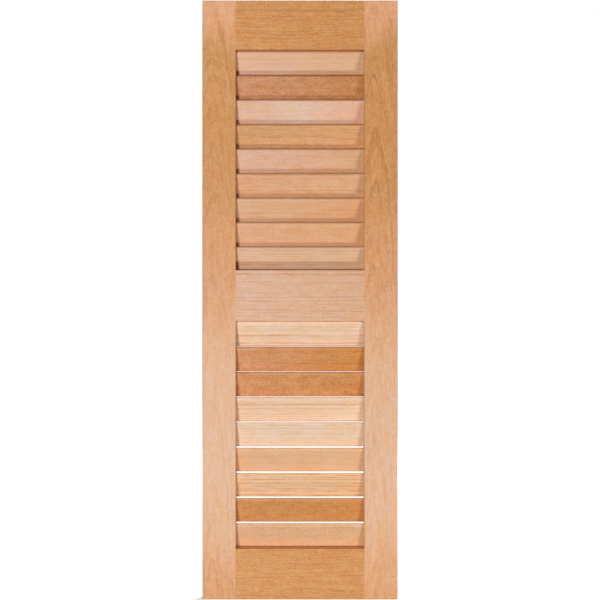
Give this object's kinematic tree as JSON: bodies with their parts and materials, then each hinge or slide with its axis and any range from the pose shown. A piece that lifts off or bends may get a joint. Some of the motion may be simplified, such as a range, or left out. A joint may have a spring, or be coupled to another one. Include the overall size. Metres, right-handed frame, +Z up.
{
  "type": "louvred shutter panel",
  "caption": "Tall cedar shutter panel: dowelled stiles and rails around an upper and a lower bank of fixed, sloping, bullnosed louvres that shade a window and let air through.",
  "frame": {"origin": "centre of the panel's bottom edge, midway through its thickness", "axes": "+X across the panel, to the right seen from the front; +Y from the front face to the back face; +Z up"},
  "size_m": [0.381, 0.0446, 1.168],
  "materials": {
    "stile_cedar": "planed and sanded, unfinished",
    "golden_cedar": "planed and sanded, unfinished",
    "blush_cedar": "planed and sanded, unfinished",
    "umber_cedar": "planed and sanded, unfinished",
    "cream_cedar": "planed and sanded, unfinished",
    "tan_cedar": "planed and sanded, unfinished",
    "dowel_hardwood": "turned, unfinished"
  },
  "bodies": {
    "root": {"left_stile": "stile_cedar", "right_stile": "stile_cedar", "top_rail": "golden_cedar", "mid_rail": "blush_cedar", "bottom_rail": "golden_cedar", "top_rail_dowels": "dowel_hardwood", "mid_rail_dowels": "dowel_hardwood", "bottom_rail_dowels": "dowel_hardwood", "upper_louvre_1": "blush_cedar", "upper_louvre_2": "umber_cedar", "upper_louvre_3": "blush_cedar", "upper_louvre_4": "golden_cedar", "upper_louvre_5": "blush_cedar", "upper_louvre_6": "tan_cedar", "upper_louvre_7": "tan_cedar", "upper_louvre_8": "tan_cedar", "upper_louvre_9": "blush_cedar", "lower_louvre_1": "cream_cedar", "lower_louvre_2": "umber_cedar", "lower_louvre_3": "umber_cedar", "lower_louvre_4": "cream_cedar", "lower_louvre_5": "cream_cedar", "lower_louvre_6": "tan_cedar", "lower_louvre_7": "cream_cedar", "lower_louvre_8": "umber_cedar", "lower_louvre_9": "tan_cedar"}
  },
  "joints": []
}
